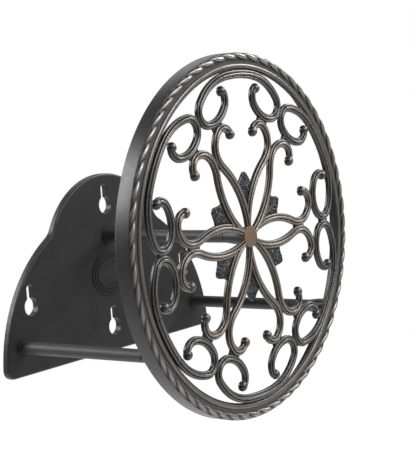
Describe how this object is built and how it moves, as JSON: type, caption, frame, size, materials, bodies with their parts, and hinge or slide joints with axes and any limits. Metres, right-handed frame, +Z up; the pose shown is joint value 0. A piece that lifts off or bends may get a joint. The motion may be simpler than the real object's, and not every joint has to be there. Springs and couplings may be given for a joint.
{
  "type": "hose holder",
  "caption": "Wall-mounted hose holder: a round openwork scroll medallion with a rope border, held off a domed keyholed back plate by the tubes that carry the coiled hose.",
  "frame": {"origin": "on the back plate's wall face, midway between the upper and the lower keyhole", "axes": "+X to the right as seen from the room, +Y into the wall, +Z up"},
  "size_m": [0.3048, 0.1655, 0.3048],
  "materials": {
    "cast_plate": "cast, charcoal powder coat, satin",
    "cast_dark": "cast, dark grey powder coat, satin",
    "cast_bronze": "cast, brown-black with bronze rubbed on the raised reeds",
    "cast_leaf": "cast, blue-black, textured",
    "hub_copper": "copper-brown, satin",
    "tube_metal": "drawn tube, grey coat, semi-gloss",
    "bolt_steel": "plain stainless"
  },
  "bodies": {
    "root": {"back_plate": "cast_plate", "upper_tube": "tube_metal", "lower_left_tube": "tube_metal", "lower_right_tube": "tube_metal", "upper_tie_bolt": "bolt_steel", "lower_left_tie_bolt": "bolt_steel", "lower_right_tie_bolt": "bolt_steel", "ring_rim": "cast_dark", "rope_border": "cast_dark", "ring_bars": "cast_dark", "leaves": "cast_leaf", "hub": "cast_bronze", "hub_button": "hub_copper", "petal_1": "cast_bronze", "petal_2": "cast_bronze", "petal_3": "cast_bronze", "petal_4": "cast_bronze", "petal_5": "cast_bronze", "petal_6": "cast_bronze", "scroll_pair_1": "cast_dark", "scroll_pair_2": "cast_dark", "scroll_pair_3": "cast_dark", "scroll_pair_4": "cast_dark", "scroll_pair_5": "cast_dark", "scroll_pair_6": "cast_dark"}
  },
  "joints": []
}
